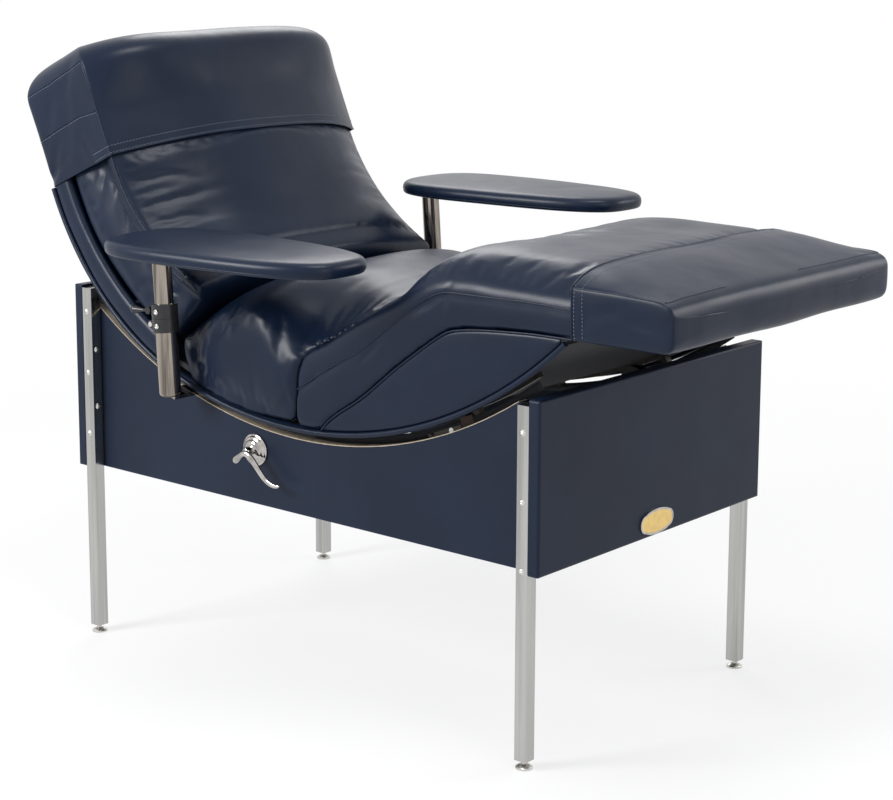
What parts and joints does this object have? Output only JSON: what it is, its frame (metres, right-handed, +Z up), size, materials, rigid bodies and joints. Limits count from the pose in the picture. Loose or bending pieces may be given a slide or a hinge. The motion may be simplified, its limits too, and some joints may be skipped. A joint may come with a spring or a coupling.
{
  "type": "phlebotomy chair",
  "caption": "Blood donor lounge in navy vinyl that rocks on curved rails in a base on square chrome legs, with swivelling arm rests.",
  "frame": {"origin": "centre of the bounding box, on the floor under the glides", "axes": "+X towards the foot end, +Y to the sitter's left, +Z up"},
  "size_m": [1.5456, 1.0744, 1.1904],
  "materials": {
    "navy_vinyl": "grained navy vinyl upholstery, satin",
    "base_vinyl": "grained navy vinyl stretched over board, satin",
    "chrome": "polished chrome plate",
    "zinc_steel": "bright zinc plate",
    "black_steel": "black satin finish",
    "roller_nylon": "black nylon",
    "gold_field": "satin gold",
    "edge_strip": "beige edge strip",
    "brown_rubber": "brown rubber",
    "board": "plywood"
  },
  "bodies": {
    "base": {"leg_head_right": "chrome", "leg_head_left": "chrome", "leg_foot_right": "chrome", "leg_foot_left": "chrome", "side_panel_right": "base_vinyl", "side_panel_left": "base_vinyl", "panel_trims": "edge_strip", "head_panel": "base_vinyl", "foot_panel": "base_vinyl", "plaque_rim": "chrome", "plaque_face": "gold_field", "leg_screws": "zinc_steel", "roller_brackets": "zinc_steel", "roller_axles": "zinc_steel", "stop_blocks": "brown_rubber", "lock_rosette": "chrome", "brake_guide": "zinc_steel"},
    "lounge": {"bottom_board": "board", "back_board": "board", "leg_deck": "board", "leg_board_right": "navy_vinyl", "leg_board_left": "navy_vinyl", "back_side_right": "navy_vinyl", "back_side_left": "navy_vinyl", "rail_right": "zinc_steel", "rail_left": "zinc_steel", "piping": "navy_vinyl", "seat_cushion": "navy_vinyl", "back_cushion": "navy_vinyl", "leg_cushion": "navy_vinyl", "head_cover": "navy_vinyl", "foot_cover": "navy_vinyl", "arm_socket_right": "chrome", "arm_socket_left": "chrome", "lower_clamps": "black_steel", "clamp_screws": "zinc_steel"},
    "lock": {"lock_shaft": "zinc_steel", "lock_cam": "zinc_steel", "lock_handle": "chrome"},
    "brake": {"brake_shoe": "zinc_steel", "brake_pad": "brown_rubber"},
    "roller_head_right": {"roller_head_right": "roller_nylon"},
    "glide_head_right": {"glide_head_right": "zinc_steel"},
    "roller_head_left": {"roller_head_left": "roller_nylon"},
    "glide_head_left": {"glide_head_left": "zinc_steel"},
    "roller_foot_right": {"roller_foot_right": "roller_nylon"},
    "glide_foot_right": {"glide_foot_right": "zinc_steel"},
    "roller_foot_left": {"roller_foot_left": "roller_nylon"},
    "glide_foot_left": {"glide_foot_left": "zinc_steel"},
    "arm_clamp_right": {"upper_clamp_right": "black_steel"},
    "clamp_lever_right": {"clamp_lever_right": "black_steel"},
    "arm_rest_right": {"arm_post_right": "chrome", "arm_pad_right": "navy_vinyl"},
    "arm_clamp_left": {"upper_clamp_left": "black_steel"},
    "clamp_lever_left": {"clamp_lever_left": "black_steel"},
    "arm_rest_left": {"arm_post_left": "chrome", "arm_pad_left": "navy_vinyl"}
  },
  "joints": [
    {"name": "lounge_rock", "type": "hinge", "parent": "base", "child": "lounge", "pos_m": [-0.04322, 0, 1.397], "axis": [0, 1, 0], "range_deg": [-14, 0]},
    {"name": "roller_head_right_turn", "type": "hinge", "parent": "base", "child": "roller_head_right", "pos_m": [-0.32539, -0.255, 0.52859], "axis": [0, 1, 0], "range_deg": [-10, 600]},
    {"name": "roller_head_left_turn", "type": "hinge", "parent": "base", "child": "roller_head_left", "pos_m": [-0.32539, 0.255, 0.52859], "axis": [0, 1, 0], "range_deg": [-10, 600]},
    {"name": "roller_foot_right_turn", "type": "hinge", "parent": "base", "child": "roller_foot_right", "pos_m": [0.28994, -0.255, 0.54685], "axis": [0, 1, 0], "range_deg": [-10, 600]},
    {"name": "roller_foot_left_turn", "type": "hinge", "parent": "base", "child": "roller_foot_left", "pos_m": [0.28994, 0.255, 0.54685], "axis": [0, 1, 0], "range_deg": [-10, 600]},
    {"name": "lock_turn", "type": "hinge", "parent": "base", "child": "lock", "pos_m": [-0.16205, -0.3, 0.44297], "axis": [0, 1, 0], "range_deg": [0, 60]},
    {"name": "brake_lift", "type": "slide", "parent": "base", "child": "brake", "axis": [0.1236, 0, 0.9923], "range_m": [-0.0031, 0]},
    {"name": "arm_swivel_right", "type": "hinge", "parent": "lounge", "child": "arm_clamp_right", "pos_m": [-0.31422, -0.383, 0.533], "axis": [-0.0698, 0, 0.9976], "range_deg": [-35, 15]},
    {"name": "arm_height_right", "type": "slide", "parent": "arm_clamp_right", "child": "arm_rest_right", "axis": [-0.0698, 0, 0.9976], "range_m": [0, 0.08]},
    {"name": "clamp_lever_turn_right", "type": "hinge", "parent": "arm_clamp_right", "child": "clamp_lever_right", "pos_m": [-0.35691, -0.383, 0.69181], "axis": [0, 1, 0], "range_deg": [-55, 0]},
    {"name": "arm_swivel_left", "type": "hinge", "parent": "lounge", "child": "arm_clamp_left", "pos_m": [-0.31422, 0.383, 0.533], "axis": [-0.0698, 0, 0.9976], "range_deg": [-15, 90]},
    {"name": "arm_height_left", "type": "slide", "parent": "arm_clamp_left", "child": "arm_rest_left", "axis": [-0.0698, 0, 0.9976], "range_m": [-0.03, 0.05]},
    {"name": "clamp_lever_turn_left", "type": "hinge", "parent": "arm_clamp_left", "child": "clamp_lever_left", "pos_m": [-0.29406, 0.383, 0.6962], "axis": [0, 1, 0], "range_deg": [0, 55]},
    {"name": "glide_head_right_screw", "type": "slide", "parent": "base", "child": "glide_head_right", "axis": [0, 0, 1], "range_m": [0, 0.006]},
    {"name": "glide_head_left_screw", "type": "slide", "parent": "base", "child": "glide_head_left", "axis": [0, 0, 1], "range_m": [0, 0.006]},
    {"name": "glide_foot_right_screw", "type": "slide", "parent": "base", "child": "glide_foot_right", "axis": [0, 0, 1], "range_m": [0, 0.006]},
    {"name": "glide_foot_left_screw", "type": "slide", "parent": "base", "child": "glide_foot_left", "axis": [0, 0, 1], "range_m": [0, 0.006]}
  ],
  "couplings": [
    {"joint": "roller_head_right_turn", "follows": "lounge_rock", "ratio": -40.7},
    {"joint": "roller_head_left_turn", "follows": "lounge_rock", "ratio": -40.7},
    {"joint": "roller_foot_right_turn", "follows": "lounge_rock", "ratio": -40.7},
    {"joint": "roller_foot_left_turn", "follows": "lounge_rock", "ratio": -40.7},
    {"joint": "brake_lift", "follows": "lock_turn", "m_per_rad": -0.002865}
  ]
}
